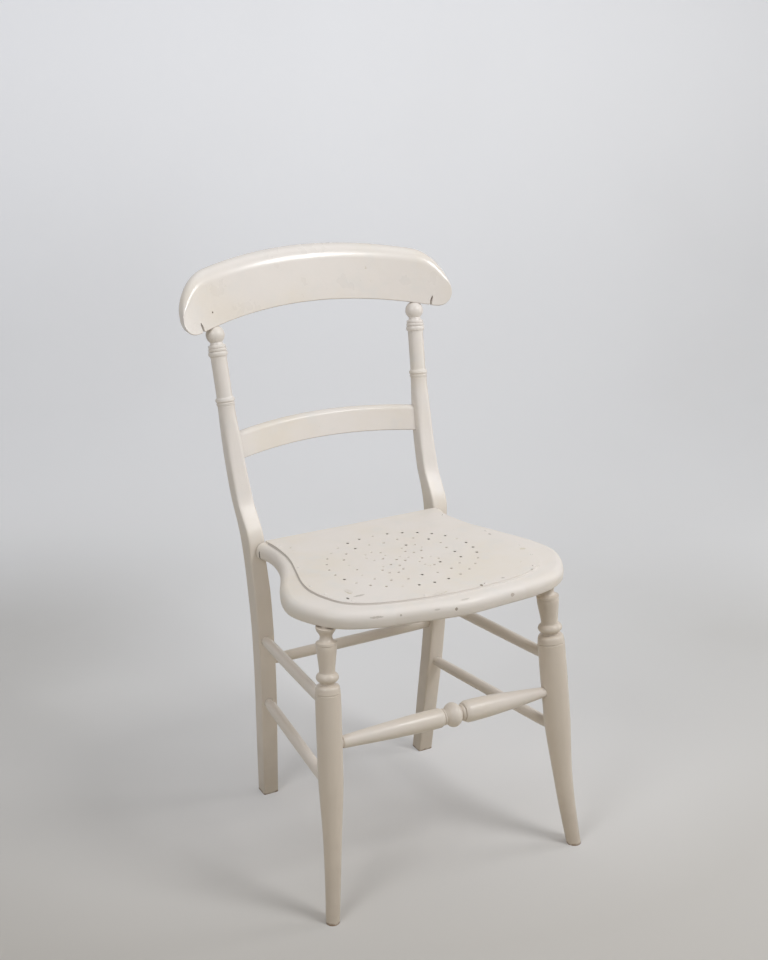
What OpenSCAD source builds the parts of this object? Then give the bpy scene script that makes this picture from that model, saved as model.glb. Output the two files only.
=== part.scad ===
// Painted bedroom side chair with a bowed yoke crest and a perforated plywood seat.
// Millimetres, +Z up, the chair faces -Y. The floor is z = 0.

/* [Seat] */
// Height of the top of the seat panel above the floor
seat_height = 450; // [420:1:480]
// Widest width of the seat frame
seat_width = 436; // [400:1:470]
// Reach of the seat frame in front of the back feet
seat_reach = 343; // [325:1:380]
// Width of the seat frame where it meets the back legs
seat_back_width = 328; // [318:1:345]
// Thickness of the seat frame
frame_thick = 25; // [21:0.5:30]
// Thickness of the plywood seat panel
panel_thick = 3; // [2.5:0.5:6]
// Bare frame left outside the panel at the middle of the front
panel_margin = 28; // [22:1:32]
// How much further forward the right end of the seat front reaches than the left
seat_skew = 16.5; // [0:0.5:26]
// How far the front of the seat has crept to the right of the back
seat_drift = 9; // [0:0.5:12]
// Number of tacks round the panel
tack_count = 12; // [6:1:18]

/* [Perforations] */
// Diameter of a perforation
hole_d = 4.8; // [3:0.2:6]
// Number of perforations in the outer oval
ring_count = 30; // [24:1:34]
// Width of the outer oval of perforations
ring_width = 230; // [180:1:236]
// Depth of the outer oval of perforations
ring_depth = 196; // [150:1:204]
// Number of perforations in the scalloped inner oval
scallop_count = 22; // [16:1:24]
// Petals of the perforated rosette
petal_count = 4; // [3:1:5]
// Number of perforations in a petal
petal_holes = 7; // [5:1:8]

/* [Back] */
// Height of the top of the crest rail
chair_height = 860; // [800:1:900]
// Overall length of the crest rail
crest_length = 458; // [420:1:480]
// Height of the crest rail's face
crest_face = 84; // [76:1:95]
// Thickness of the crest rail at its lower edge
crest_thick = 20; // [19:0.5:25]
// How far the ends of the crest rail stand in front of its middle
crest_bow = 53; // [30:1:60]
// How far the crest rail arches above its ends
crest_arch = 27; // [10:1:34]
// Backward lean of the upper back, in degrees
back_rake = 12.2; // [8:0.1:16]
// Height of the lower edge of the middle rail
mid_rail_z = 567; // [550:1:590]
// Height of the middle rail
mid_rail_face = 40; // [30:1:46]
// Thickness of the middle rail
mid_rail_thick = 15; // [12:0.5:17]

/* [Legs] */
// Half the distance between the back feet, centre to centre
back_foot_x = 145; // [138:1:158]
// Outward lean of the back legs, millimetres per millimetre of height
back_splay = 0.036; // [0.02:0.001:0.045]
// Width of a back leg
back_leg_w = 27; // [25:0.5:30]
// Half the distance between the front legs under the seat
front_leg_x = 176; // [165:1:184]
// Distance of the front legs' tops in front of the back feet
front_leg_y = 285; // [270:1:296]
// How much further forward the right front leg stands than the left
leg_skew = 16; // [0:1:20]
// Half the distance between the front feet
front_foot_x = 207; // [190:1:215]
// Distance of the front feet in front of the back feet
front_foot_y = 350; // [330:1:362]
// Outward kick of the front foot beyond the straight line of its leg
foot_kick = 10.5; // [0:0.5:16]
// Largest diameter of the left front leg
left_leg_d = 36; // [32:0.5:40]
// Largest diameter of the right front leg, which was turned stouter
right_leg_d = 40.5; // [36:0.5:42]

/* [Stretchers] */
// Height of the front stretcher
front_stretcher_z = 252.5; // [235:0.5:275]
// How much lower the right end of the front stretcher sits than the left
front_stretcher_fall = 2.5; // [0:0.5:8]
// Height of the back stretcher
back_stretcher_z = 246; // [225:1:255]
// Height of the upper side stretchers at the back legs
upper_side_z = 286; // [276:1:296]
// Height of the lower side stretchers at the back legs
lower_side_z = 176; // [160:1:190]
// Rise of the upper side stretchers towards the front
upper_side_rise = 20; // [10:1:30]
// Rise of the lower side stretchers towards the front
lower_side_rise = 14; // [0:1:24]
// How much higher the front end of a left side stretcher sits than a right one
side_twist = 8; // [0:1:12]
// Diameter of the plain stretchers
stretcher_d = 17; // [14:0.5:19]
// Largest diameter of the front stretcher's left barrel
left_barrel_d = 29; // [26:0.5:34]
// Largest diameter of the front stretcher's right barrel
right_barrel_d = 32.5; // [26:0.5:34]
// Diameter of the front stretcher's ball
ball_d = 36; // [32:0.5:40]

/* [Joints] */
// Gap all round a tenon in its mortise
fit_gap = 0.15; // [0.05:0.05:0.3]
// Taper of a stretcher from its body to its tenons
tenon_taper = 2; // [1:0.5:4]
// Depth of the stretcher tenons in the legs
tenon_depth = 13; // [10:0.5:13.5]
// Diameter of the front legs' tenons in the seat frame
leg_tenon_d = 14; // [12:0.5:16]
// Diameter of the stiles' tenons in the crest rail
stile_tenon_d = 11; // [9:0.5:12]
// Depth of the stiles' tenons in the crest rail
stile_tenon_depth = 34; // [26:1:42]
// Open crack where the left side rail has drawn away from its leg
joint_crack = 1; // [0:0.5:2]

/* [Hidden] */

$fn = 48;
LEFT = -1;
RIGHT = 1;

paint = [0.93, 0.9, 0.86];
shade = [0.86, 0.83, 0.79];
steel = [0.45, 0.42, 0.38];

frame_top = seat_height - panel_thick;
frame_bottom = frame_top - frame_thick;
frame_mid = frame_top - frame_thick / 2;

// ---------------------------------------------------------------- helpers

function unit(v) = v / norm(v);
function mix(a, b, t) = a + (b - a) * t;
function clamp(v, low, high) = max(low, min(high, v));
function item(list, i) = list[clamp(i, 0, len(list) - 1)];
function reversed(list) = [for (i = [len(list) - 1 : -1 : 0]) list[i]];

// Smooth run of points or numbers through list p, with a number of steps between knots.
function spline_at(a, b, c, d, t) = 0.5 * (
    2 * b + (c - a) * t + (2 * a - 5 * b + 4 * c - d) * t * t + (3 * b - a - 3 * c + d) * t * t * t
);
function spline(p, steps) = [
    for (i = [0 : len(p) - 2], k = [0 : steps - 1])
        spline_at(item(p, i - 1), p[i], p[i + 1], item(p, i + 2), k / steps),
    p[len(p) - 1]
];

// Value at z of a table of [z, value] rows, joined smoothly.
function row_at(t, z, i = 0) = (i >= len(t) - 2 || z < t[i + 1][0]) ? i : row_at(t, z, i + 1);
function slope(a, b) = b[0] == a[0] ? 0 : (b[1] - a[1]) / (b[0] - a[0]);
function curve_at(t, z) =
    let (
        i = row_at(t, z),
        a = t[i],
        b = t[i + 1],
        h = b[0] - a[0],
        s = clamp((z - a[0]) / h, 0, 1),
        m0 = slope(item(t, i - 1), b) * h,
        m1 = slope(a, item(t, i + 2)) * h
    )
    (2 * s * s * s - 3 * s * s + 1) * a[1] + (s * s * s - 2 * s * s + s) * m0
    + (3 * s * s - 2 * s * s * s) * b[1] + (s * s * s - s * s) * m1;

// Rounded square of n points; power 2 is round, larger powers are squarer.
function squared(v, power) = sign(v) * pow(abs(v), 2 / power);
function squircle(n, a, b, power) = [
    for (k = [0 : n - 1])
        let (t = 360 * (k + 0.5) / n)
        [a * squared(cos(t), power), b * squared(sin(t), power)]
];

// Closed solid through rings of equal length.
module loft(rings) {
    n = len(rings[0]);
    m = len(rings);
    sides = [
        for (i = [0 : m - 2], j = [0 : n - 1])
            let (a = i * n + j, b = i * n + (j + 1) % n, c = b + n, d = a + n)
            each [[a, c, b], [a, d, c]]
    ];
    first = [for (j = [0 : n - 1]) j];
    last = [for (j = [n - 1 : -1 : 0]) (m - 1) * n + j];
    polyhedron(points = [for (r = rings, p = r) p], faces = concat(sides, [first, last]), convexity = 6);
}

// Places what is drawn up the Z axis on the line from a towards b, turned about that line.
module along(a, b, turn = 0) {
    d = b - a;
    translate(a)
        rotate([0, acos(d[2] / norm(d)), atan2(d[1], d[0])])
            rotate([0, 0, turn])
                children();
}

// Solid of revolution from [height, radius] rows.
module turned(rows) {
    top = rows[len(rows) - 1][0];
    rotate_extrude()
        polygon(concat([[0, rows[0][0]]], [for (r = rows) [r[1], r[0]]], [[0, top]]));
}

module on_side(side) {
    mirror([side < 0 ? 1 : 0, 0, 0])
        children();
}

// ---------------------------------------------------------------- back legs

// Front and back faces of a back leg behind the front edge of its foot, by height.
turning_z = seat_height + 190;
front_face = [
    [0, -2], [100, -12], [200, -23], [300, -26], [370, -23], [frame_bottom - 8, -14],
    [frame_top, -13.5], [seat_height + 15, -7], [seat_height + 30, 4], [seat_height + 50, 18.5],
    [seat_height + 80, 30], [seat_height + 110, 40], [seat_height + 150, 50.4], [turning_z, 60]
];
back_face = [
    [0, 23], [100, 14.5], [200, 6], [300, 2.5], [370, 8], [frame_bottom - 8, 13.5],
    [frame_top, 21.5], [seat_height + 15, 28], [seat_height + 30, 35.5], [seat_height + 50, 46],
    [seat_height + 80, 57.5], [seat_height + 110, 67], [seat_height + 150, 77.2], [turning_z, 86.5]
];
round_from = seat_height + 50;
foot_taper = 1.5;
stile_lean = tan(back_rake);
leg_sides = 24;

function leg_x(z) = back_foot_x + back_splay * z;
function leg_front(z) = curve_at(front_face, z);
function leg_back(z) = curve_at(back_face, z);
function leg_y(z) = z > turning_z
    ? leg_y(turning_z) + (z - turning_z) * stile_lean
    : (leg_front(z) + leg_back(z)) / 2;
function leg_half_w(z) = back_leg_w / 2 - foot_taper * max(0, 1 - z / 120) / 2
    - 0.4 * clamp((z - round_from) / (turning_z - round_from), 0, 1);
function leg_power(z) = z < round_from
    ? 10
    : max(2, 10 - 8.4 * pow((z - round_from) / (turning_z - round_from), 0.7));
function stile_at(z) = [leg_x(z), leg_y(z), z];
stile_foot = stile_at(turning_z);
stile_axis = unit([back_splay, stile_lean, 1]);

leg_heights = concat(
    [0, 60, 120, 180, 240, 300, 340, 370, 395, frame_bottom - 8, frame_mid, frame_top],
    [for (h = [8 : 8 : 80]) seat_height + h],
    [for (h = [95 : 15 : 185]) seat_height + h],
    [turning_z + 4]
);

crest_low_z = chair_height - crest_face;
stile_x = leg_x(crest_low_z - crest_arch / 2);
function arch_drop(x) = crest_arch * pow(2 * x / crest_length, 2);
// The stile meets the underside of the crest rail here.
stile_top_z = crest_low_z - arch_drop(stile_x);
stile_len = (stile_top_z - turning_z) / stile_axis[2];
ball_r = 14.4;
ball_at = stile_len - ball_r + 1;

stile_turning = [
    [-6, 12.2], [3, 13.1], [4.4, 14], [6.6, 14], [7.4, 13], [8.2, 13.6], [9.6, 14.8], [12.6, 14.8],
    [14.2, 13.8], [15.2, 12.6], [17, 12.3],
    [stile_len - 48, 12.4], [stile_len - 46, 12.6], [stile_len - 45.2, 14],
    [stile_len - 43.2, 14.8], [stile_len - 40.4, 14.8], [stile_len - 38.6, 14],
    [stile_len - 38, 12.8], [stile_len - 37.2, 13.9], [stile_len - 35.4, 14.2],
    [stile_len - 33.8, 13.8], [stile_len - 33.2, 12.4], [stile_len - 32.4, 13.2],
    [stile_len - 30.4, 13.4], [stile_len - 29, 12.6], [stile_len - 28.2, 10.4],
    [stile_len - 25.6, 9.4], [ball_at, 8]
];

module stile_tenon(gap) {
    along(stile_foot, stile_foot + stile_axis)
        translate([0, 0, ball_at])
            cylinder(h = stile_len - ball_at + stile_tenon_depth + gap, d = stile_tenon_d + 2 * gap);
}

module stile_ball(gap) {
    translate(stile_foot + stile_axis * ball_at)
        sphere(r = ball_r + gap);
}

module back_leg_blank() {
    loft([
        for (z = leg_heights)
            let (c = z > turning_z ? stile_foot + [0, 0, z - turning_z] : stile_at(z), v = min(z, turning_z))
            [for (p = squircle(leg_sides, leg_half_w(v), (leg_back(v) - leg_front(v)) / 2, leg_power(v)))
                [c[0] + p[0], c[1] + p[1], z]]
    ]);
    along(stile_foot, stile_foot + stile_axis)
        turned(stile_turning);
    stile_ball(0);
    stile_tenon(0);
}

module back_leg(side) {
    color(paint)
        translate([0, back_y, 0])
            difference() {
                on_side(side)
                    back_leg_blank();
                mid_rail_solid(fit_gap);
                side_rail_tenon(side, fit_gap);
                stretcher_bore(back_end(side), back_end(-side), back_leg_w / 2);
                stretcher_bore(side_back_end(side, upper_side_z), upper_front_end(side), leg_depth / 2);
                stretcher_bore(side_back_end(side, lower_side_z), lower_front_end(side), leg_depth / 2);
            }
}
leg_depth = leg_back(upper_side_z) - leg_front(upper_side_z);

module back_leg_left() { back_leg(LEFT); }

module back_leg_right() { back_leg(RIGHT); }

// ---------------------------------------------------------------- crest rail

crest_half = crest_length / 2;
crest_corner_r = 50;
crest_ear_r = 29;
crest_stations = 44;
crest_lean = back_rake + 1;
crest_thin = 3;
top_overhang = 5;
stile_thick = crest_thick - crest_thin * pow(stile_x / crest_half, 2);
crest_mid_y = leg_y(stile_top_z) - stile_thick / 2 + crest_bow * pow(stile_x / crest_half, 2);
notch_x = crest_half - 34;
notch_w = 4.5;
notch_h = 18;
pin_hole_d = 2.6;
pin_hole_up = 22;
pin_hole_x = stile_x + 3;

function crest_y(x) = crest_mid_y - crest_bow * pow(x / crest_half, 2);
// Height a corner of radius r takes off the end of the rail.
function corner_cut(x, r) =
    let (d = abs(x) - (crest_half - r))
    d <= 0 ? 0 : r - sqrt(max(0, r * r - d * d));

// Section [back, up] of the crest rail with its lower front edge at the origin.
function crest_section(h, t) =
    let (k = min(1, h / 60), round_r = 8 * k, roll_h = 22 * k, far = t + top_overhang * k, w = far - round_r)
    concat(
        [[1.5, 0], [t - 2, 0], [t, 2], [t, h - 34 * k], [mix(t, far, 0.6), h - 20 * k]],
        [for (a = [0 : 30 : 60]) [w + round_r * cos(a), h - round_r + round_r * sin(a)]],
        [for (a = [90 : 15 : 180]) [w + w * cos(a), h - roll_h + roll_h * sin(a)]],
        [[0, 1.5]]
    );
function crest_ring(x) =
    let (
        low = corner_cut(x, crest_ear_r),
        h = (crest_face - corner_cut(x, crest_corner_r) - low) / cos(crest_lean),
        z = crest_low_z - arch_drop(x) + low,
        y = crest_y(x) + low * tan(crest_lean),
        t = crest_thick - crest_thin * pow(x / crest_half, 2)
    )
    [for (p = crest_section(h, t))
        [x, y + p[0] + p[1] * sin(crest_lean), z + p[1] * cos(crest_lean)]];

// Scroll notch that parts the ear from the lower edge.
module ear_notch() {
    translate([notch_x, crest_y(notch_x), crest_low_z - arch_drop(notch_x) - 3])
        rotate([90 - crest_lean, 0, 0])
            translate([0, 0, -2 * crest_thick])
                linear_extrude(3 * crest_thick)
                    polygon([
                        [-0.8 * notch_w, 0], [0.45 * notch_w, 0], [0.4 * notch_w, 0.3 * notch_h],
                        [0.65 * notch_w, 0.6 * notch_h], [0.95 * notch_w, 0.85 * notch_h],
                        [0.9 * notch_w, notch_h], [0.55 * notch_w, 0.96 * notch_h],
                        [0, 0.7 * notch_h], [-0.35 * notch_w, 0.35 * notch_h]
                    ]);
}

module crest_rail() {
    color(paint)
        translate([0, back_y, 0])
            difference() {
                // Stations crowd towards the rounded ends.
                loft([for (i = [-crest_stations / 2 : crest_stations / 2])
                    crest_ring((crest_half - 0.3) * sin(180 * i / crest_stations))]);
                for (side = [LEFT, RIGHT])
                    on_side(side) {
                        stile_tenon(fit_gap);
                        stile_ball(fit_gap);
                        ear_notch();
                    }
                translate([-pin_hole_x, crest_y(pin_hole_x) - 5, stile_top_z + pin_hole_up])
                    rotate([-90, 0, 0])
                        cylinder(h = 20, d = pin_hole_d);
            }
}

// ---------------------------------------------------------------- middle rail

mid_half = leg_x(mid_rail_z) - 6;
mid_bow = 26;
mid_arch = 7;
mid_lean = back_rake + 3;
mid_stations = 20;
mid_edge_r = 6;
mid_mid_y = leg_y(mid_rail_z) - 6 + mid_bow;

// Section [back, up] of the middle rail, grown by a gap all round.
function mid_section(gap) =
    let (t = mid_rail_thick, h = mid_rail_face, r = mid_edge_r)
    concat(
        [[1.5 - gap, -gap], [t - 1.5 + gap, -gap], [t + gap, 1.5 - gap]],
        [for (a = [0 : 30 : 90]) [t - r + (r + gap) * cos(a), h - r + (r + gap) * sin(a)]],
        [for (a = [90 : 30 : 180]) [r + (r + gap) * cos(a), h - r + (r + gap) * sin(a)]],
        [[-gap, 1.5 - gap]]
    );
function mid_ring(x, gap) =
    let (
        f = pow(x / mid_half, 2),
        y = mid_mid_y - mid_bow * f,
        z = mid_rail_z - mid_arch * f
    )
    [for (p = mid_section(gap))
        [x, y + p[0] + p[1] * sin(mid_lean), z + p[1] * cos(mid_lean)]];

module mid_rail_solid(gap) {
    reach = mid_half + gap;
    loft([for (i = [-mid_stations / 2 : mid_stations / 2]) mid_ring(2 * reach * i / mid_stations, gap)]);
}

module mid_rail() {
    color(paint)
        translate([0, back_y, 0])
            mid_rail_solid(0);
}

// ---------------------------------------------------------------- seat frame

half_w = seat_width / 2;
half_back = seat_back_width / 2;
joint_y = leg_front(frame_mid) - 0.5;
skew_rate = seat_skew / (2 * 145 * seat_reach);
drift_run = 120;
front_joint_x = 118;
panel_cover = 14;
outline_steps = 4;
top_round = 0.5;
low_round = 0.28;
tongue_w = 12;
tongue_h = frame_thick - 13;
tongue_len = 14;

// Right half of the frame's outline, from the back leg to the middle of the front.
half_outline = [
    [half_back, joint_y], [half_back - 6, -0.141 * seat_reach], [half_back + 4, -0.273 * seat_reach],
    [mix(half_back, half_w, 0.43), -0.404 * seat_reach], [half_w - 9.5, -0.541 * seat_reach],
    [half_w, -0.67 * seat_reach], [half_w - 11, -0.779 * seat_reach], [half_w - 38.5, -0.889 * seat_reach],
    [half_w - 85, -0.951 * seat_reach], [half_w * 0.312, -0.979 * seat_reach], [0, -seat_reach]
];
// Bare margin outside the panel at the same points.
half_margin = panel_margin * [0.52, 0.41, 0.57, 0.83, 1.21, 1.5, 1.44, 1.25, 1.02, 0.86, 0.94];
half_count = (len(half_outline) - 1) * outline_steps;

function drift(y) = let (s = clamp((joint_y - y) / drift_run, 0, 1)) seat_drift * s * s * (3 - 2 * s);
function skewed(p) = let (y = p[1] + skew_rate * p[0] * (p[1] - joint_y)) [p[0] + drift(y), y];
function flipped(p) = [-p[0], p[1]];
function first(list, n) = [for (i = [0 : n]) list[i]];
right_half = first(spline(concat(half_outline, [flipped(half_outline[9])]), outline_steps), half_count);
left_half = [for (p = right_half) flipped(p)];
right_margin = first(spline(concat(half_margin, [half_margin[9]]), outline_steps), half_count);

// The whole edge runs from the left back leg round the front to the right back leg.
edge = [for (p = concat(left_half, reversed(first(right_half, half_count - 1)))) skewed(p)];
margin = concat(right_margin, reversed(first(right_margin, half_count - 1)));
edge_last = len(edge) - 1;
joint_index = len([for (p = right_half) if (p[0] > front_joint_x) p]);

function tangent(i) = i == 0 ? [0, -1] : i == edge_last ? [0, 1] : unit(edge[i + 1] - edge[i - 1]);
function inward(i) = let (t = tangent(i)) [-t[1], t[0]];
function rail_w(i) = margin[i] + panel_cover;

// Section [in, up] of a rail with a rounded outer edge.
function rail_section(w) =
    let (a_top = frame_thick * top_round, a_low = frame_thick * low_round)
    concat(
        [[w, 0], [w, frame_thick]],
        [for (a = [90 : 22.5 : 180]) [a_top + a_top * cos(a), frame_thick - a_top + a_top * sin(a)]],
        [for (a = [202.5 : 22.5 : 270]) [a_low + a_low * cos(a), a_low + a_low * sin(a)]]
    );
// A crack holds the left back end away from its leg.
module rail_run(from, to, crack = 0) {
    loft([
        for (i = [from : to])
            [for (q = rail_section(rail_w(i)))
                let (p = edge[i] + inward(i) * q[0])
                [p[0], p[1] - (i == 0 ? crack : 0), frame_bottom + q[1]]]
    ]);
}

// Tongue of the front rail in a side rail.
module front_tongue(side, gap) {
    i = side < 0 ? joint_index : edge_last - joint_index;
    c = edge[i] + inward(i) * rail_w(i) * 0.55;
    t = tangent(i);
    // A tongue points away from the front rail.
    turn = atan2(t[1], t[0]) + (side < 0 ? 180 : 0);
    translate([c[0], c[1], frame_mid])
        rotate([0, 0, turn])
            translate([-6, -tongue_w / 2 - gap, -tongue_h / 2 - gap])
                cube([6 + tongue_len + gap, tongue_w + 2 * gap, tongue_h + 2 * gap]);
}

back_rail_w = 26;
panel_back_y = joint_y - 2.5;
back_rail_reach = half_back - half_margin[0] - 8;

module back_tongues(gap) {
    x = back_rail_reach + 1 + gap;
    translate([-x, panel_back_y - back_rail_w / 2 - tongue_w / 2 - gap, frame_mid - tongue_h / 2 - gap])
        cube([2 * x, tongue_w + 2 * gap, tongue_h + 2 * gap]);
}

side_tenon_x = leg_x(frame_mid) - 5;
side_tenon_w = 10;
module side_rail_tenon(side, gap) {
    translate([side * side_tenon_x - side_tenon_w / 2 - gap, joint_y - 4, frame_mid - tongue_h / 2 - gap])
        cube([side_tenon_w + 2 * gap, 4 + tongue_len + gap + 1, tongue_h + 2 * gap]);
}

module frame_cuts() {
    tack_shanks(fit_gap);
    for (side = [LEFT, RIGHT])
        front_leg_tenon(side, fit_gap);
}

module side_rail(side, crack) {
    from = side < 0 ? 0 : edge_last - joint_index;
    to = side < 0 ? joint_index : edge_last;
    color(paint)
        translate([0, back_y, 0])
            difference() {
                union() {
                    rail_run(from, to, crack);
                    side_rail_tenon(side, 0);
                }
                front_tongue(side, fit_gap);
                back_tongues(fit_gap);
                frame_cuts();
            }
}

module side_rail_left() { side_rail(LEFT, joint_crack); }

module side_rail_right() { side_rail(RIGHT, 0); }

module front_rail() {
    color(paint)
        translate([0, back_y, 0])
            difference() {
                union() {
                    rail_run(joint_index, edge_last - joint_index);
                    front_tongue(LEFT, 0);
                    front_tongue(RIGHT, 0);
                }
                frame_cuts();
            }
}

module back_rail() {
    color(shade)
        translate([0, back_y, 0])
            union() {
                difference() {
                    translate([-back_rail_reach, panel_back_y - back_rail_w, frame_bottom + 1])
                        cube([2 * back_rail_reach, back_rail_w, frame_thick - 1]);
                    rail_run(0, joint_index);
                    rail_run(edge_last - joint_index, edge_last);
                }
                back_tongues(0);
            }
}

// ---------------------------------------------------------------- seat panel

ring_y = -0.513 * seat_reach;
scallop_low = 0.63;
scallop_high = 0.79;
petal_at = 0.385;
petal_r = 15.5;
petal_turn = 45;
heart_count = 4;
heart_at = 0.085;

function oval(scale, angle) = [
    scale * ring_width / 2 * cos(angle), ring_y + scale * ring_depth / 2 * sin(angle)
];

module perforations() {
    drill = [
        for (k = [0 : ring_count - 1]) oval(1, 360 * (k + 0.4) / ring_count),
        for (k = [0 : scallop_count - 1])
            let (a = 360 * (k + 0.3) / scallop_count)
            oval(mix(scallop_low, scallop_high, pow(abs(sin(petal_count * a / 2)), 0.6)), a),
        for (p = [0 : petal_count - 1], k = [0 : petal_holes - 1])
            let (a = 360 * p / petal_count + petal_turn, b = 360 * k / petal_holes + a)
            oval(petal_at, a) + petal_r * [cos(b), sin(b)],
        for (k = [0 : heart_count - 1]) oval(heart_at, 360 * k / heart_count)
    ];
    for (p = drill)
        translate([p[0], p[1], frame_top - 1])
            cylinder(h = panel_thick + 2, d = hole_d, $fn = 24);
}

panel_edge = [for (i = [0 : edge_last]) edge[i] + inward(i) * margin[i]];

module seat_panel() {
    color(paint)
        translate([0, back_y, 0])
            difference() {
                translate([0, 0, frame_top])
                    linear_extrude(panel_thick)
                        polygon(panel_edge);
                translate([-seat_width, panel_back_y, frame_top - 1])
                    cube([2 * seat_width, 30, panel_thick + 2]);
                perforations();
                tack_shanks(fit_gap);
            }
}

tack_inset = 6;
tack_len = 11;
tack_head_d = 5;
tack_head_h = 1;
tack_shank_d = 1.8;

// A tack that would fall on a joint of the frame moves past it.
function off_joint(i) = min(abs(i - joint_index), abs(i - edge_last + joint_index)) < 2 ? i + 2 : i;
function tack_index(k) = off_joint(round(mix(4, edge_last - 4, k / (tack_count - 1))));
tacks = [
    for (k = [0 : tack_count - 1])
        let (i = tack_index(k), p = edge[i] + inward(i) * (margin[i] + tack_inset))
        [p[0], p[1], seat_height]
];

module tack_shanks(gap) {
    for (p = tacks)
        translate([p[0], p[1], p[2] - tack_len - gap])
            cylinder(h = tack_len + gap + (gap > 0 ? 1 : 0), d = tack_shank_d + 2 * gap, $fn = 24);
}

module seat_tacks() {
    color(steel)
        translate([0, back_y, 0]) {
            tack_shanks(0);
            for (p = tacks)
                translate(p)
                    turned([
                        [0, tack_head_d / 2], [0.3 * tack_head_h, 0.48 * tack_head_d],
                        [0.8 * tack_head_h, 0.3 * tack_head_d], [tack_head_h, 0.1 * tack_head_d]
                    ]);
        }
}

// ---------------------------------------------------------------- front legs

kick_z = 200;
kick_power = 2.2;
kick_dir = unit([0.73, -0.68]);
// Distance below the seat frame where the smooth shaft takes over from the turning.
shaft_from = 95.4;
spigot_len = 14;
shaft_sides = 36;
leg_tenon_len = frame_thick - 10;
// Keeps the seams of the round surfaces away from where the frame's underside cuts them.
seam_turn = 70;

function leg_size(side) = side < 0 ? left_leg_d : right_leg_d;
function front_top(side) = [side * front_leg_x, -front_leg_y - side * leg_skew / 2, frame_bottom];
function front_heel(side) = [
    side * (front_foot_x - foot_kick * kick_dir[0]), -front_foot_y - foot_kick * kick_dir[1], 0
];
function front_down(side) = unit(front_heel(side) - front_top(side));
// Point of the leg's straight axis at height z.
function front_axis(side, z) = front_top(side) + front_down(side) * (z - frame_bottom) / front_down(side)[2];
function front_centre(side, z) =
    let (k = foot_kick * pow(clamp(1 - z / kick_z, 0, 1), kick_power))
    front_axis(side, z) + [side * kick_dir[0] * k, kick_dir[1] * k, 0];

// Rows of [distance below the seat frame, diameter as a share of the shaft].
leg_turning = [
    [0, 0.78], [3, 0.78], [6, 0.72], [10, 0.56], [13, 0.49], [15.5, 0.485], [18, 0.52], [20.5, 0.62],
    [21.5, 0.72], [22, 0.8], [23.2, 0.82], [25.4, 0.82], [26.2, 0.77], [27, 0.79], [30, 0.8],
    [36, 0.775], [48, 0.695], [58, 0.635], [64, 0.615], [65.5, 0.63], [67, 0.74], [69, 0.84],
    [72, 0.89], [75, 0.86], [77.4, 0.76], [78.6, 0.62], [79.6, 0.6], [82.4, 0.6], [83, 0.72],
    [84, 0.86], [86, 0.93], [90, 0.965], [93.6, 0.985], [94.2, 0.955], [shaft_from, 0.955],
    [shaft_from, 0.8], [shaft_from + spigot_len, 0.8]
];
// Rows of [height, diameter as a share of the shaft] below the turning.
shaft_taper = [
    [0, 0.545], [12, 0.565], [45, 0.61], [110, 0.72], [155, 0.85], [190, 0.96], [215, 1], [300, 1.01],
    [frame_bottom - 96, 1]
];

module front_leg_tenon(side, gap) {
    a = front_top(side);
    along(a + front_down(side) * 10, a, seam_turn)
        cylinder(h = 10 + leg_tenon_len + gap, d = leg_tenon_d + 2 * gap);
}

// Ring of the shaft at height z: level at the floor and square to the axis at the top.
function shaft_ring(side, z, r) =
    let (
        n = unit(mix([0, 0, 1], -front_down(side), clamp(z / kick_z, 0, 1))),
        across = unit(cross([0, 1, 0], n)),
        behind = cross(n, across),
        c = front_centre(side, z)
    )
    [for (k = [0 : shaft_sides - 1])
        let (a = 360 * k / shaft_sides)
        c + r * (across * cos(a) + behind * sin(a))];

module front_leg_blank(side) {
    r = leg_size(side) / 2;
    top = front_top(side);
    turned_len = shaft_from + spigot_len;
    drop = -front_down(side)[2];
    intersection() {
        along(top + front_down(side) * turned_len, top, seam_turn)
            turned(concat(
                [for (q = reversed(leg_turning)) [turned_len - q[0], q[1] * r]],
                [[turned_len + 8, leg_turning[0][1] * r]]
            ));
        translate([-seat_width, -2 * seat_reach, 0])
            cube([2 * seat_width, 2 * seat_reach, frame_bottom]);
    }
    front_leg_tenon(side, 0);
    loft(concat(
        [for (k = [0 : 13]) let (z = 15.5 * k) shaft_ring(side, z, r * curve_at(shaft_taper, z))],
        [for (d = [150, 120, shaft_from + 0.8])
            let (z = frame_bottom - d * drop)
            shaft_ring(side, z, r * curve_at(shaft_taper, z))],
        [shaft_ring(side, frame_bottom - (shaft_from - 0.6) * drop, r * 0.88)]
    ));
}

module front_leg(side) {
    color(paint)
        translate([0, back_y, 0])
            difference() {
                front_leg_blank(side);
                stretcher_bore(front_end(side), front_end(-side), leg_size(side) / 2);
                stretcher_bore(upper_front_end(side), side_back_end(side, upper_side_z), leg_size(side) / 2);
                stretcher_bore(
                    lower_front_end(side), side_back_end(side, lower_side_z), leg_size(side) / 2 - 1
                );
            }
}

module front_leg_left() { front_leg(LEFT); }

module front_leg_right() { front_leg(RIGHT); }

// ---------------------------------------------------------------- stretchers

stretcher_tenon_d = stretcher_d - tenon_taper;

function front_end(side) = front_axis(side, front_stretcher_z - side * front_stretcher_fall / 2);
function back_end(side) = [side * leg_x(back_stretcher_z), leg_y(back_stretcher_z), back_stretcher_z];
function side_back_end(side, z) = [side * leg_x(z), leg_y(z), z];
function upper_front_end(side) = front_centre(side, upper_side_z + upper_side_rise - side * side_twist / 2);
function lower_front_end(side) = front_centre(side, lower_side_z + lower_side_rise - side * side_twist / 4);

// Distance of a tenon's end from the axis of a leg that is r thick either side.
function tenon_stop(r) = max(0, r - tenon_depth);

// Bore for the stretcher that runs from point a in the leg towards b.
module stretcher_bore(a, b, r) {
    along(a, b)
        translate([0, 0, tenon_stop(r) - fit_gap])
            cylinder(h = 2 * tenon_depth + 20, d = stretcher_tenon_d + 2 * fit_gap);
}

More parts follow.
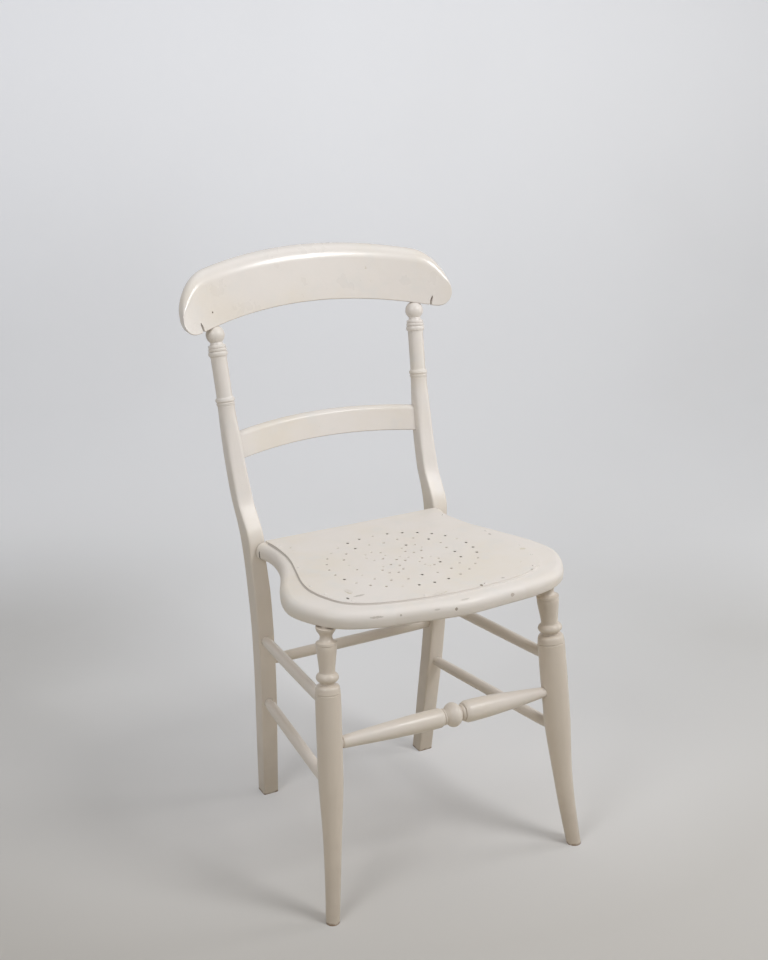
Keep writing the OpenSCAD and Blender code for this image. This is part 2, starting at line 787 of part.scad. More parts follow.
// Plain stretcher between leg axes a and b, of legs ra and rb thick either side.
module plain_stretcher(a, b, ra, rb) {
    d = norm(b - a);
    mid = d / 2;
    low = tenon_stop(ra);
    high = d - tenon_stop(rb);
    r = stretcher_tenon_d / 2;
    along(a, b)
        turned([
            [low, r], [ra + 4, r], [ra + 10, mix(r, stretcher_d / 2, 0.6)], [ra + 34, stretcher_d / 2],
            [mid, stretcher_d / 2 + 0.3],
            [d - rb - 34, stretcher_d / 2], [d - rb - 10, mix(r, stretcher_d / 2, 0.6)], [d - rb - 4, r],
            [high, r]
        ]);
}

// Rows of [share of the way from the middle turning to the leg, share of the barrel's swell].
barrel_swell = [[0.03, 0.97], [0.1, 1], [0.2, 0.98], [0.35, 0.88], [0.5, 0.71], [0.62, 0.55], [0.74, 0.39],
    [0.86, 0.2], [0.96, 0.04]];
turning_shift = 10;
barrel_start = 17.8;
bead_r = 12.3;
neck_r = 9.3;
left_end_r = 9;
right_end_r = 7.9;

// Rows of [distance from the middle turning, radius] of a barrel that reaches its leg at distance len.
function barrel_rows(len, d, end_r) = concat(
    [[barrel_start, 0.43 * d]],
    [for (p = barrel_swell) [mix(barrel_start, len, p[0]), mix(end_r, d / 2, p[1])]],
    [[len - 1, end_r - 0.2], [len, stretcher_tenon_d / 2]]
);

module front_stretcher() {
    a = front_end(LEFT);
    b = front_end(RIGHT);
    d = norm(b - a);
    mid = d / 2 + turning_shift;
    ra = left_leg_d / 2;
    rb = right_leg_d / 2;
    ball = ball_d / 2;
    // Half of the central turning as [distance from the middle, radius].
    centre = concat(
        [for (t = [0.04, 0.3, 0.55, 0.75, 0.92]) [12.4 * t, ball * sqrt(1 - 0.8 * t * t)]],
        [[12.8, neck_r], [13.5, bead_r - 1.2], [14.9, bead_r], [16.5, bead_r - 0.4], [17.3, bead_r - 2]]
    );
    left_half = concat(centre, barrel_rows(mid - ra - 0.4, left_barrel_d, left_end_r));
    right_half = concat(centre, barrel_rows(d - mid - rb - 0.4, right_barrel_d, right_end_r));
    color(paint)
        translate([0, back_y, 0])
            along(a, b)
                turned(concat(
                    [[tenon_stop(ra), stretcher_tenon_d / 2]],
                    [for (p = reversed(left_half)) [mid - p[0], p[1]]],
                    [for (p = right_half) [mid + p[0], p[1]]],
                    [[d - tenon_stop(rb), stretcher_tenon_d / 2]]
                ));
}

module back_stretcher() {
    color(shade)
        translate([0, back_y, 0])
            plain_stretcher(back_end(LEFT), back_end(RIGHT), back_leg_w / 2, back_leg_w / 2);
}

module side_stretcher(side, z, front, trim) {
    color(shade)
        translate([0, back_y, 0])
            plain_stretcher(side_back_end(side, z), front, leg_depth / 2, leg_size(side) / 2 - trim);
}

module upper_stretcher_left() { side_stretcher(LEFT, upper_side_z, upper_front_end(LEFT), 0); }

module upper_stretcher_right() { side_stretcher(RIGHT, upper_side_z, upper_front_end(RIGHT), 0); }

module lower_stretcher_left() { side_stretcher(LEFT, lower_side_z, lower_front_end(LEFT), 1); }

module lower_stretcher_right() { side_stretcher(RIGHT, lower_side_z, lower_front_end(RIGHT), 1); }

// The origin stands midway between the tips of the front feet and the back of the crest rail.
crest_back_y = crest_mid_y + crest_face * tan(crest_lean) + crest_thick + top_overhang;
back_y = (front_foot_y + 0.27 * right_leg_d - crest_back_y) / 2;

crest_rail();
mid_rail();
back_leg_left();
back_leg_right();
front_leg_left();
front_leg_right();
front_rail();
side_rail_left();
side_rail_right();
back_rail();
seat_panel();
seat_tacks();
front_stretcher();
back_stretcher();
upper_stretcher_left();
upper_stretcher_right();
lower_stretcher_left();
lower_stretcher_right();
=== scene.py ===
import math
import random

import bmesh
import bpy
from mathutils import Matrix, Vector


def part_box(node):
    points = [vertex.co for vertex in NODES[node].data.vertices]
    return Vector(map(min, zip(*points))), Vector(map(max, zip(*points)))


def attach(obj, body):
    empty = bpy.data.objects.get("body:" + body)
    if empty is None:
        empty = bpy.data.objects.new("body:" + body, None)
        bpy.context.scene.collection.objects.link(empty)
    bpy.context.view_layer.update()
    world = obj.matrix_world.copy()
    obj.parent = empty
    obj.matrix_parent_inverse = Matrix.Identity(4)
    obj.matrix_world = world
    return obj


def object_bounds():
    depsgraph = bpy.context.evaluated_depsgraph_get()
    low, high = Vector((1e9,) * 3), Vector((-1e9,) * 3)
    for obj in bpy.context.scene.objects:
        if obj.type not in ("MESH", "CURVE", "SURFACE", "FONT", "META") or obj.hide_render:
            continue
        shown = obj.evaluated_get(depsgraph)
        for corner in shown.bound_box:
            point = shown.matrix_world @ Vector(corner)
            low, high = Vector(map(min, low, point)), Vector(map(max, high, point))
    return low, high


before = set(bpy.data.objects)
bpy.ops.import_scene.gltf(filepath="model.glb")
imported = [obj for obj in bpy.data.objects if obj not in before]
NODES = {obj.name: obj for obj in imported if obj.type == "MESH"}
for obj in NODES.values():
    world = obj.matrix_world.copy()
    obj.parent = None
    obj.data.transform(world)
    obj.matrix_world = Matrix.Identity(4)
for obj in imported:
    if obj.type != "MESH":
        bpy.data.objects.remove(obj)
cad_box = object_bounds()
LOW, HIGH = Vector(cad_box[0]), Vector(cad_box[1])
MM = 0.001
SEED = 11
PANEL_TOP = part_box("seat_panel")[1][2]
PANEL_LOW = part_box("seat_panel")[0][2]

# ---------------------------------------------------------------- camera

CAMERA_AT = Vector((-0.9535, -1.7816, 1.2691))
CAMERA_YAW = math.radians(-28.44)
CAMERA_PITCH = math.radians(-19.65)
FOCAL_SHARE = 1438 / 768


def make_camera():
    data = bpy.data.cameras.new("camera")
    data.sensor_fit = "HORIZONTAL"
    data.sensor_width = 36
    data.lens = data.sensor_width * FOCAL_SHARE
    camera = bpy.data.objects.new("camera", data)
    camera.location = CAMERA_AT
    camera.rotation_euler = (math.radians(90) + CAMERA_PITCH, 0, CAMERA_YAW)
    bpy.context.scene.collection.objects.link(camera)
    bpy.context.scene.camera = camera


# ---------------------------------------------------------------- node helpers


class Nodes:
    """Short calls for building the node tree of a material or a world."""

    def __init__(self, name, kind="materials"):
        self.owner = getattr(bpy.data, kind).new(name)
        self.owner.use_nodes = True
        self.tree = self.owner.node_tree
        self.tree.nodes.clear()

    def add(self, kind, inputs=None, **settings):
        node = self.tree.nodes.new(kind)
        for key, value in settings.items():
            setattr(node, key, value)
        for key, value in (inputs or {}).items():
            self.feed(node.inputs[key], value)
        return node

    def feed(self, socket, value):
        if isinstance(value, bpy.types.NodeSocket):
            self.tree.links.new(value, socket)
        else:
            socket.default_value = value

    def math(self, operation, a, b=0.0, clamp=False):
        node = self.add("ShaderNodeMath", {0: a, 1: b}, operation=operation)
        node.use_clamp = clamp
        return node.outputs[0]

    def ramp(self, value, low, high, out_low=0.0, out_high=1.0):
        """Smooth step of value from low to high."""
        return self.add(
            "ShaderNodeMapRange",
            {0: value, 1: low, 2: high, 3: out_low, 4: out_high},
            interpolation_type="SMOOTHSTEP",
        ).outputs[0]

    def noise(self, vector, scale, detail=4.0, rough=0.55, distortion=0.0):
        inputs = {"Vector": vector, "Scale": scale, "Detail": detail}
        inputs.update({"Roughness": rough, "Distortion": distortion})
        return self.add("ShaderNodeTexNoise", inputs).outputs[0]

    def voronoi(self, vector, scale):
        return self.add("ShaderNodeTexVoronoi", {"Vector": vector, "Scale": scale}).outputs[0]

    def mix(self, share, a, b):
        node = self.add("ShaderNodeMix", data_type="RGBA")
        self.feed(node.inputs[0], share)
        self.feed(node.inputs[6], a)
        self.feed(node.inputs[7], b)
        return node.outputs[2]

    def vector(self, operation, a, b=(0.0, 0.0, 0.0)):
        return self.add("ShaderNodeVectorMath", {0: a, 1: b}, operation=operation).outputs

    def spot(self, at, centre, size):
        """Mask of an ellipsoid round centre with a ragged edge, in metres."""
        offset = self.vector("SUBTRACT", at, centre)["Vector"]
        reach = self.vector("LENGTH", self.vector("DIVIDE", offset, size)["Vector"])["Value"]
        ragged = self.math("SUBTRACT", self.noise(at, 0.9 / min(size), 3.0), 0.5)
        reach = self.math("ADD", reach, self.math("MULTIPLY", ragged, 1.1))
        return self.ramp(reach, 1.0, 0.8)

    def waver(self, value, at, scale, detail, amount):
        """value with noise of the given amount added to it."""
        return self.math("ADD", value, self.math("MULTIPLY", self.noise(at, scale, detail), amount))

    def place(self):
        """Object coordinates, and their X, Y and Z."""
        at = self.add("ShaderNodeTexCoord").outputs["Object"]
        return at, self.add("ShaderNodeSeparateXYZ", {0: at}).outputs

    def stretch(self, vector, scale):
        return self.add("ShaderNodeMapping", {"Vector": vector, "Scale": scale}).outputs[0]

    def bump(self, height, strength, distance, normal=None):
        inputs = {"Height": height, "Strength": strength, "Distance": distance}
        if normal is not None:
            inputs["Normal"] = normal
        return self.add("ShaderNodeBump", inputs).outputs[0]

    def attribute(self, name):
        return self.add("ShaderNodeAttribute", attribute_name=name).outputs["Fac"]

    def seen(self):
        """1 for the rays that show the backdrop and 0 for those that only light the chair."""
        path = self.add("ShaderNodeLightPath").outputs
        mirrored = self.math("MAXIMUM", path["Is Glossy Ray"], path["Is Transmission Ray"])
        return self.math("MAXIMUM", path["Is Camera Ray"], mirrored)

    def output(self, shader, kind="ShaderNodeOutputMaterial"):
        self.add(kind, {"Surface": shader})
        return self.owner


SHADER = "ShaderNodeBsdfPrincipled"


def colour(red, green, blue):
    """A display colour of 0 to 255 as linear RGBA."""
    return tuple((c / 255) ** 2.2 for c in (red, green, blue)) + (1.0,)


PAINT = colour(240, 234, 229)
PAINT_WARM = colour(238, 230, 219)
PAINT_COOL = colour(234, 231, 227)
# Darker, warmer paint for the painted shade below the seat.
PAINT_IN_SEAT_SHADE = colour(222, 211, 198)
# Colour of real grime and marks, also used for painted shade in creases, in the holes and along the
# panel's edge.
GRIME_AND_SHADE = colour(126, 110, 92)
OLD_PAINT = colour(196, 184, 142)
BARE = colour(128, 100, 72)
# Dark wood of real marks, also the painted shade inside the open holes.
DARK_WOOD_AND_SHADE = colour(58, 42, 30)
RUST = colour(96, 66, 46)

# Marks on the seat as (centre, half sizes, colour, strength), in mm.
SEAT_MARKS = (
    ((-124.8, -147.4, 450), (4.2, 9.0, 3), OLD_PAINT, 0.55),
    ((-117.0, -166.0, 450), (9.0, 2.6, 3), GRIME_AND_SHADE, 0.4),
    ((-135.8, -167.2, 450), (1.9, 3.2, 3), DARK_WOOD_AND_SHADE, 0.9),
    ((-16.0, -212.0, 450), (13.0, 2.8, 4), OLD_PAINT, 0.5),
    ((50.0, -216.5, 450), (2.4, 3.2, 3), GRIME_AND_SHADE, 0.9),
    ((-119.7, -221.1, 439.9), (10.0, 6.0, 1.6), GRIME_AND_SHADE, 0.38),
    ((-34.2, -237.8, 439.4), (4.5, 4.0, 1.2), GRIME_AND_SHADE, 0.3),
    ((-6.6, -243.1, 436.5), (2.4, 3.0, 2.4), GRIME_AND_SHADE, 0.7),
    ((10.0, -237.9, 445.6), (7.0, 1.6, 2.0), GRIME_AND_SHADE, 0.25),
    ((-86.1, -228.8, 438.7), (1.6, 3.0, 1.6), GRIME_AND_SHADE, 0.45),
    ((86.8, -240.3, 436.9), (3.6, 4.0, 3.0), BARE, 0.4),
    ((144.6, -203.3, 450), (2.4, 3.4, 3), GRIME_AND_SHADE, 0.4),
    ((90.7, -208.7, 450), (3.4, 2.2, 3), GRIME_AND_SHADE, 0.4),
    ((176.0, -131.2, 450), (5.0, 4.0, 3), OLD_PAINT, 0.35),
    ((164.0, -58.4, 450), (2.0, 3.4, 3), GRIME_AND_SHADE, 0.45),
    ((-161.5, 76.0, 430), (6.0, 1.1, 7.5), DARK_WOOD_AND_SHADE, 0.9),
)


def paint(name, along, wear_and_shade=1.0, gloss=0.36, coat=0.3, seat_shade=0.0, marks=()):
    """Old brushed oil paint, with brush marks stretched by the scale along.

    Below the seat the paint turns darker and warmer as painted shade, by the share given after
    coat.
    """
    n = Nodes(name)
    at, axes = n.place()
    height = axes["Z"]

    mottle = n.noise(at, 7.0, 4.0, 0.55)
    base = n.mix(n.ramp(mottle, 0.4, 0.72), PAINT, PAINT_WARM)
    base = n.mix(n.ramp(n.noise(at, 27.0, 3.0), 0.48, 0.75, 0.0, 0.6), base, PAINT_COOL)
    # Painted shade: below the seat the paint turns darker and warmer.
    uneven_height = n.math("ADD", height, n.math("MULTIPLY", mottle, 0.08))
    base = n.mix(n.ramp(uneven_height, 0.52, 0.47, 0.0, seat_shade), base, PAINT_IN_SEAT_SHADE)

    # Handling grime lies in faint smudges and in specks; every crease is darkened by ambient
    # occlusion as painted shade.
    smudge = n.math("MULTIPLY", n.ramp(n.noise(at, 12.0, 7.0, 0.66, 0.4), 0.54, 0.9), 0.08)
    speck = n.ramp(n.voronoi(at, 120.0), 0.085, 0.03, 0.0, 0.4)
    speck = n.math("MULTIPLY", speck, n.ramp(n.noise(at, 19.0), 0.6, 0.68))
    # Painted shade: ambient occlusion darkens the paint in every crease.
    crease_shade = n.add("ShaderNodeAmbientOcclusion", {"Distance": 5 * MM}, samples=8).outputs["AO"]
    crease_shade = n.ramp(crease_shade, 0.66, 0.2, 0.0, 0.3)
    grime_and_crease_shade = n.math("MAXIMUM", n.math("ADD", smudge, crease_shade), speck)
    base = n.mix(n.math("MULTIPLY", grime_and_crease_shade, wear_and_shade), base, GRIME_AND_SHADE)

    # Small chips down to a yellowed undercoat, a few of them to bare wood.
    patch = n.ramp(n.noise(at, 15.0, 2.0), 0.63, 0.72)
    chip_level = n.math("MULTIPLY", n.noise(at, 210.0, 4.0, 0.62), patch)
    under = n.ramp(chip_level, 0.63, 0.65)
    bare = n.ramp(chip_level, 0.68, 0.7)
    base = n.mix(n.math("MULTIPLY", under, 0.5 * wear_and_shade), base, OLD_PAINT)
    base = n.mix(n.math("MULTIPLY", bare, 0.7 * wear_and_shade), base, BARE)
    relief = under

    for centre, size, tint, strength in marks:
        mask = n.spot(at, [v * MM for v in centre], [v * MM for v in size])
        base = n.mix(n.math("MULTIPLY", mask, strength), base, tint)
        relief = n.math("MAXIMUM", relief, mask)

    # The feet are scuffed through to the wood at the floor.
    scuff = n.ramp(n.waver(height, at, 160.0, 4.0, 9 * MM), 8.5 * MM, 4.5 * MM)
    base = n.mix(n.math("MULTIPLY", scuff, 0.85), base, BARE)
    # The paint turns darker towards the floor, from about 0.2 m down.
    darker_low = n.ramp(n.waver(height, at, 30.0, 5.0, 0.12), 0.2, 0.05, 0.0, 0.22)
    base = n.mix(darker_low, base, GRIME_AND_SHADE)

    strokes = n.noise(n.stretch(at, along), 1.0, 3.0, 0.6)
    orange_peel = n.noise(at, 420.0, 2.0)
    lumps = n.noise(at, 45.0, 3.0)
    normal = n.bump(lumps, 0.3, 0.8 * MM)
    normal = n.bump(strokes, 0.5, 0.2 * MM, normal)
    normal = n.bump(orange_peel, 0.2, 0.1 * MM, normal)
    normal = n.bump(n.math("SUBTRACT", 1.0, relief), 0.7, 0.25 * MM, normal)

    rough = n.ramp(n.noise(at, 26.0, 4.0), 0.3, 0.7, gloss - 0.05, gloss + 0.12)
    rough = n.math("ADD", rough, n.math("MULTIPLY", grime_and_crease_shade, 0.3), clamp=True)
    finish = {"Base Color": base, "Roughness": rough, "Normal": normal, "IOR": 1.47}
    finish.update({"Coat Weight": coat, "Coat Roughness": 0.18})
    return n.output(n.add(SHADER, finish).outputs[0])


def hole_paint():
    """Paint in the perforations, darker the deeper it lies as painted shade, and worn away in the
    open ones, where a dark lining is painted shade of the hole.
    """
    n = Nodes("paint_in_holes")
    at, axes = n.place()
    below = n.math("SUBTRACT", PANEL_TOP, axes["Z"])
    base = n.mix(n.noise(at, 40.0), PAINT, PAINT_WARM)
    # Painted shade: the paint is darker the deeper it lies below the panel's top.
    base = n.mix(n.ramp(below, 0.2 * MM, 1.2 * MM, 0.0, 0.8), base, GRIME_AND_SHADE)
    # Painted shade: the open holes are lined in dark wood.
    base = n.mix(n.attribute("worn"), base, DARK_WOOD_AND_SHADE)
    return n.output(n.add(SHADER, {"Base Color": base, "Roughness": 0.5}).outputs[0])


def bead_paint():
    """The line of paint round the panel, darkened as painted shade, most along the left side and
    least towards the right.
    """
    n = Nodes("paint_bead")
    at, axes = n.place()
    # Painted shade: the bead is darkened, most along the left side.
    bead_shade = n.ramp(n.waver(axes["X"], at, 30.0, 4.0, 0.06), 0.12, -0.16, 0.15, 0.38)
    base = n.mix(bead_shade, PAINT, GRIME_AND_SHADE)
    normal = n.bump(n.noise(at, 300.0), 0.3, 0.2 * MM)
    finish = {"Base Color": base, "Roughness": 0.5, "Normal": normal}
    return n.output(n.add(SHADER, finish).outputs[0])


def tack_finish():
    """Tack heads under the paint, with rust where it has worn off."""
    n = Nodes("painted_tack")
    at = n.add("ShaderNodeTexCoord").outputs["Object"]
    covered = n.ramp(n.noise(at, 300.0, 3.0), 0.3, 0.42)
    rust = n.mix(n.noise(at, 900.0, 4.0), RUST, BARE)
    normal = n.bump(covered, 0.4, 0.2 * MM)
    base = n.mix(covered, rust, PAINT)
    finish = {"Base Color": base, "Roughness": 0.42, "Normal": normal}
    return n.output(n.add(SHADER, finish).outputs[0])


# ---------------------------------------------------------------- finishing CAD nodes


def crisp(obj, angle):
    """Even shading for a CAD mesh: merged corners, edges split above the angle, smooth faces."""
    for face in obj.data.polygons:
        face.use_smooth = True
    obj.modifiers.new("weld", "WELD").merge_threshold = 0.01 * MM
    split = obj.modifiers.new("split", "EDGE_SPLIT")
    split.split_angle = math.radians(angle)
    split.use_edge_sharp = False
    obj.modifiers.new("weighted", "WEIGHTED_NORMAL").keep_sharp = True


def dress(node, material, angle=36):
    obj = NODES[node]
    obj.data.materials.clear()
    obj.data.materials.append(material)
    crisp(obj, angle)


# ---------------------------------------------------------------- added pieces

# Places of the perforations that have lost their filling, in mm.
OPEN_HOLES = (
    (-45, 11), (-22, 18), (27, 19), (49, 11), (70, 1), (87, -14), (100, -31), (114, -70),
    (115, -90), (109, -109), (-44, -11), (30, -36), (72, -31), (81, -92), (43, -116), (79, -113),
    (-26, -173), (22, -174), (-2, -176), (-4, -144), (-110, -107),
)
OPEN_WITHIN = 4.5 * MM
# Smaller holes are those of the tacks.
PERFORATION_R = 2 * MM
OPEN_DEPTH = 2.7 * MM
# Depth of the old paint in a filled perforation, in mm.
FILL_LOW, FILL_HIGH = 0.5, 1.6
HOLE_BRIM = 0.08 * MM
# Size of the paint gathered round the panel, in mm.
BEAD_WIDE, BEAD_TALL = 1.7, 2.3


def mesh_object(name, verts, faces, material):
    mesh = bpy.data.meshes.new(name)
    mesh.from_pydata(verts, [], faces)
    for face in mesh.polygons:
        face.use_smooth = True
    mesh.materials.append(material)
    obj = bpy.data.objects.new(name, mesh)
    bpy.context.scene.collection.objects.link(obj)
    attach(obj, "root")
    return obj


def centre_and_radius(loop):
    centre = sum(loop, Vector((0, 0))) / len(loop)
    return centre, sum((p - centre).length for p in loop) / len(loop)


def wall_order(loop):
    """Sort key that is the same in every run: longest first, then from left to right."""
    centre, _ = centre_and_radius(loop)
    return -len(loop), round(centre.x, 4), round(centre.y, 4)


def panel_walls():
    """The upright walls of the seat panel, as lists of corner points at their feet."""
    mesh = bmesh.new()
    mesh.from_mesh(NODES["seat_panel"].data)
    bmesh.ops.remove_doubles(mesh, verts=mesh.verts, dist=0.01 * MM)
    todo = {face for face in mesh.faces if abs(face.normal.z) < 0.1}
    loops = []
    while todo:
        stack = [todo.pop()]
        links = {}
        while stack:
            face = stack.pop()
            for edge in face.edges:
                low = [vert for vert in edge.verts if vert.co.z < PANEL_LOW + 0.2 * MM]
                if len(low) == 2:
                    links.setdefault(low[0], []).append(low[1])
                    links.setdefault(low[1], []).append(low[0])
                for other in edge.link_faces:
                    if other in todo:
                        todo.remove(other)
                        stack.append(other)
        here = min(links, key=lambda vert: (round(vert.co.x, 5), round(vert.co.y, 5)))
        seen = [here]
        while True:
            onward = [vert for vert in links[here] if vert not in seen]
            if not onward:
                break
            here = min(onward, key=lambda vert: (round(vert.co.x, 5), round(vert.co.y, 5)))
            seen.append(here)
        loops.append([vert.co.xy.copy() for vert in seen])
    mesh.free()
    return sorted(loops, key=wall_order)


def fill_holes(loops, material):
    """Linings of the perforations: old paint in most, and in the open ones a dark lining that
    closes the hole as painted shade.
    """
    rng = random.Random(SEED)
    verts, faces, worn = [], [], []
    sides, rings = 20, 8
    for loop in loops:
        centre, radius = centre_and_radius(loop)
        if radius < PERFORATION_R:
            continue
        is_open = any((centre - Vector(hole) * MM).length < OPEN_WITHIN for hole in OPEN_HOLES)
        # The open holes get a dark lining nearly through the panel, as painted shade.
        depth = OPEN_DEPTH if is_open else rng.uniform(FILL_LOW, FILL_HIGH) * MM
        steep = 6.0 if is_open else 1.9
        uneven = 0 if is_open else 1
        off = Vector((rng.uniform(-0.25, 0.25), rng.uniform(-0.25, 0.25))) * radius * uneven
        first = len(verts)
        for k in range(rings + 1):
            share = k / rings
            if not is_open:
                narrow = 1 - share
            elif k == 1:
                narrow = 0.97
            else:
                narrow = 1 - 0.97 * share
            r = max((radius + 0.05 * MM) * narrow, 0.02 * MM)
            sunk = math.sin(min(1, steep * share) * math.pi / 2)
            z = PANEL_TOP - HOLE_BRIM - (depth - HOLE_BRIM) * sunk
            for j in range(sides):
                a = math.tau * j / sides
                wobble = 1 + 0.16 * share * math.sin(2 * a + first) * uneven
                spot = centre + off * share + Vector((math.cos(a), math.sin(a))) * r * wobble
                verts.append((spot.x, spot.y, z))
                worn.append(0.9 if is_open else 0.0)
        for k in range(rings):
            for j in range(sides):
                a, b = first + k * sides + j, first + k * sides + (j + 1) % sides
                faces.append((a, b, b + sides, a + sides))
        faces.append(tuple(first + rings * sides + j for j in range(sides)))
    lining = mesh_object("hole_linings", verts, faces, material)
    lining.data.attributes.new("worn", "FLOAT", "POINT").data.foreach_set("value", worn)


def paint_bead(loop, material):
    """Paint gathered between the panel's edge and the frame, round the sides and the front."""
    back = max(p.y for p in loop) - 1 * MM
    around = [i for i, p in enumerate(loop) if p.y < back]
    start = next(i for i in around if loop[i - 1].y >= back)
    run = [loop[(start + k) % len(loop)] for k in range(len(around))]
    middle = sum(run, Vector((0, 0))) / len(run)
    steps = 5
    verts, faces = [], []
    phase = random.Random(SEED + 1).uniform(0, math.tau)
    for i, p in enumerate(run):
        ahead = run[min(i + 1, len(run) - 1)] - run[max(i - 1, 0)]
        out = Vector((ahead.y, -ahead.x)).normalized()
        if out.dot(p - middle) < 0:
            out = -out
        wide = (BEAD_WIDE + 0.25 * math.sin(i * 0.9 + phase)) * MM
        tall = (BEAD_TALL + 0.2 * math.sin(i * 0.55 + 2 * phase)) * MM
        for k in range(steps + 1):
            a = math.pi / 2 * k / steps
            spot = p + out * (wide * (1 - math.cos(a)) - 0.02 * MM)
            verts.append((spot.x, spot.y, PANEL_LOW + tall * (1 - math.sin(a)) + 0.03 * MM))
    for i in range(len(run) - 1):
        for k in range(steps):
            a = i * (steps + 1) + k
            faces.append((a, a + 1, a + steps + 2, a + steps + 1))
    mesh_object("paint_bead", verts, faces, material)


def flake(name, centre, length, width, turn, lift, material):
    """A curled flake of paint that has come away along one side."""
    rng = random.Random(name)
    across, along, thick = 5, 14, 0.18 * MM
    verts, faces = [], []
    for side in (0, 1):
        for i in range(along + 1):
            u = i / along - 0.5
            ragged = 1 + 0.25 * rng.uniform(-1, 1) * (side == 0)
            taper = math.sqrt(max(0.0, 1 - (2 * u) ** 2)) * ragged
            for j in range(across + 1):
                v = (j / across - 0.5) * taper
                x, y = u * length, v * width
                z = 0.05 * MM + lift * (j / across) ** 2 * taper + side * thick
                spot = Vector((x, y, z))
                spot.rotate(Matrix.Rotation(turn, 3, "Z"))
                verts.append(Vector(centre) + spot)
    row, layer = across + 1, (along + 1) * (across + 1)
    for side in (0, 1):
        for i in range(along):
            for j in range(across):
                a = side * layer + i * row + j
                quad = (a, a + 1, a + row + 1, a + row)
                faces.append(quad if side else quad[::-1])
    for i in range(along):
        for j in (0, across):
            a = i * row + j
            quad = (a, a + row, a + row + layer, a + layer)
            faces.append(quad if j else quad[::-1])
    mesh_object(name, verts, faces, material)


# ---------------------------------------------------------------- stage

FLOOR_HALF = 4.0
FLOOR_NEAR = colour(196, 191, 184)
FLOOR_FAR = colour(226, 227, 229)
FLOOR_DULL = colour(208, 207, 205)
BOUNCE = colour(207, 198, 180)
SWEEP_TINT = (0.985, 1.03, 1.14, 1.0)
WALL_Y = 2.2
WALL_R = 0.9

# Lights as (name, place, diameter, watts); each faces the middle of the chair.
LIGHTS = (
    ("key", (0.85, -1.2, 1.92), 0.7, 15.5),
    ("side", (-1.45, -0.8, 1.9), 0.9, 9.3),
    ("right", (2.0, -0.55, 0.95), 0.7, 7),
    ("top", (0.2, 0.1, 2.9), 2.0, 9.5),
)
# The world as it lights the chair and as the camera sees it.
WORLD_LIT, WORLD_SEEN = 0.24, 0.68
WORLD_WARM = (1.0, 0.975, 0.93, 1.0)
WORLD_PALE = (0.98, 0.985, 1.0, 1.0)


def backdrop_material():
    n = Nodes("backdrop")
    at, axes = n.place()
    base = n.mix(n.ramp(axes["Y"], -1.3, 0.9), FLOOR_NEAR, FLOOR_FAR)
    dull = n.math("MULTIPLY", n.ramp(n.noise(at, 1.3, 5.0), 0.45, 0.75), 0.25)
    base = n.mix(dull, base, FLOOR_DULL)
    seen = n.seen()
    base = n.mix(seen, BOUNCE, base)
    floor = n.add(SHADER, {"Base Color": base, "Roughness": 0.9, "Specular IOR Level": 0.15})

    # The camera sees a paler sweep than the one that lights the chair: an emission for camera and
    # mirror rays paints light on it, a pool on the floor round the chair, brighter further out and
    # up the wall, and dimmer towards the right.
    aside = n.ramp(n.math("ABSOLUTE", axes["X"]), 0.15, 0.8, 1.0, 0.4)
    near = n.math("MULTIPLY", n.ramp(axes["Y"], -0.6, 0.2, 0.0, 0.17), aside)
    wall = n.ramp(axes["Z"], 0.05, 1.1, 0.27, 0.4)
    right = n.ramp(axes["X"], -0.3, 1.6, 0.02, 0.11)
    blend = n.ramp(axes["Y"], 0.5, 1.5)
    flat = n.vector("MULTIPLY", at, (1.0, 1.0, 0.0))["Vector"]
    reach = n.vector("LENGTH", flat)["Value"]
    near = n.math("ADD", near, n.ramp(reach, 0.9, 3.0, 0.0, 0.6))
    near = n.math("MULTIPLY", near, n.math("SUBTRACT", 1.0, blend))
    pale = n.math("SUBTRACT", n.math("ADD", near, n.math("MULTIPLY", wall, blend)), right)
    pale = n.math("MULTIPLY", n.math("MAXIMUM", pale, 0.0), seen)
    glow = n.add("ShaderNodeEmission", {"Color": SWEEP_TINT, "Strength": pale})
    both = n.add("ShaderNodeAddShader", {0: floor.outputs[0], 1: glow.outputs[0]})
    return n.output(both.outputs[0])


def make_stage():
    """A floor that curves up into a wall behind the chair, turned to face the camera."""
    profile = [(-FLOOR_HALF, 0.0)]
    profile += [
        (WALL_Y - WALL_R + WALL_R * math.sin(a), WALL_R - WALL_R * math.cos(a))
        for a in (math.radians(6 * k) for k in range(16))
    ]
    profile.append((WALL_Y, FLOOR_HALF))
    verts = [(x, y, z) for y, z in profile for x in (-FLOOR_HALF, FLOOR_HALF)]
    faces = [(2 * k, 2 * k + 1, 2 * k + 3, 2 * k + 2) for k in range(len(profile) - 1)]
    mesh = bpy.data.meshes.new("backdrop")
    mesh.from_pydata(verts, [], faces)
    for face in mesh.polygons:
        face.use_smooth = True
    floor = bpy.data.objects.new("backdrop", mesh)
    floor.rotation_euler = (0, 0, CAMERA_YAW)
    floor.location = (0, 0, LOW.z)
    mesh.materials.append(backdrop_material())
    bpy.context.scene.collection.objects.link(floor)


def area_light(name, at, target, size, watts):
    data = bpy.data.lights.new(name, "AREA")
    data.shape = "DISK"
    data.size = size
    data.energy = watts
    light = bpy.data.objects.new(name, data)
    light.location = at
    light.rotation_euler = (Vector(target) - Vector(at)).to_track_quat("-Z", "Y").to_euler()
    bpy.context.scene.collection.objects.link(light)


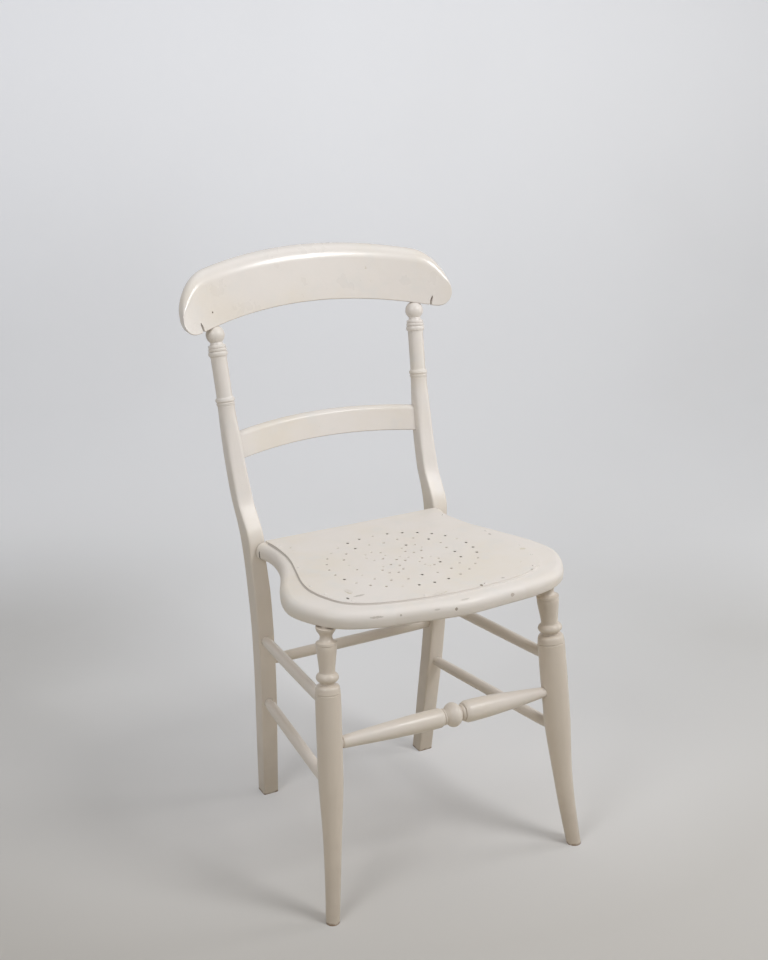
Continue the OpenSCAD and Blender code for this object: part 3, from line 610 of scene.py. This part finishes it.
def make_lights():
    middle = (LOW + HIGH) / 2
    for name, at, size, watts in LIGHTS:
        area_light(name, at, middle, size, watts)
    n = Nodes("studio", "worlds")
    seen = n.seen()
    tint = n.mix(seen, WORLD_WARM, WORLD_PALE)
    strength = n.ramp(seen, 0.0, 1.0, WORLD_LIT, WORLD_SEEN)
    background = n.add("ShaderNodeBackground", {"Color": tint, "Strength": strength})
    world = n.output(background.outputs[0], "ShaderNodeOutputWorld")
    bpy.context.scene.world = world


# ---------------------------------------------------------------- the chair


# Brush marks that run up, across and from front to back, as scales along X, Y and Z.
UP = (260.0, 260.0, 22.0)
ACROSS = (18.0, 240.0, 240.0)
FORE_AFT = (200.0, 16.0, 200.0)
OVER_SEAT = (60.0, 16.0, 200.0)


def dress_chair():
    front_legs = paint("paint_front_legs", UP, seat_shade=0.9)
    back_legs = paint("paint_back_legs", UP, coat=0.15, seat_shade=0.45)
    crest = paint("paint_crest", ACROSS, wear_and_shade=0.6, gloss=0.3, coat=0.65)
    across = paint("paint_across", ACROSS, wear_and_shade=0.8, gloss=0.34, coat=0.2, seat_shade=0.35)
    fore_aft = paint("paint_fore_aft", FORE_AFT, seat_shade=0.35)
    seat = paint("paint_seat", OVER_SEAT, wear_and_shade=0.9, gloss=0.42, coat=0.08, marks=SEAT_MARKS)
    for end in ("left", "right"):
        dress(f"front_leg_{end}", front_legs)
        dress(f"back_leg_{end}", back_legs)
        dress(f"upper_stretcher_{end}", fore_aft)
        dress(f"lower_stretcher_{end}", fore_aft)
    dress("crest_rail", crest)
    for node in ("mid_rail", "back_rail", "front_stretcher", "back_stretcher"):
        dress(node, across)
    for node in ("side_rail_left", "side_rail_right", "front_rail"):
        dress(node, seat)
    dress("seat_panel", seat, 30)
    dress("seat_tacks", tack_finish())

    walls = panel_walls()
    outer = max(walls, key=lambda loop: centre_and_radius(loop)[1])
    fill_holes([loop for loop in walls if loop is not outer], hole_paint())
    paint_bead(outer, bead_paint())
    flake("flake_panel", (-0.0165, -0.2122, PANEL_TOP), 0.021, 0.0042, 0.05, 0.9 * MM, fore_aft)
    flake("flake_corner", (-0.1245, -0.1470, PANEL_TOP), 0.015, 0.006, -1.15, 0.7 * MM, fore_aft)


make_camera()
make_stage()
make_lights()
dress_chair()

scene = bpy.context.scene
scene.view_settings.view_transform = "Standard"
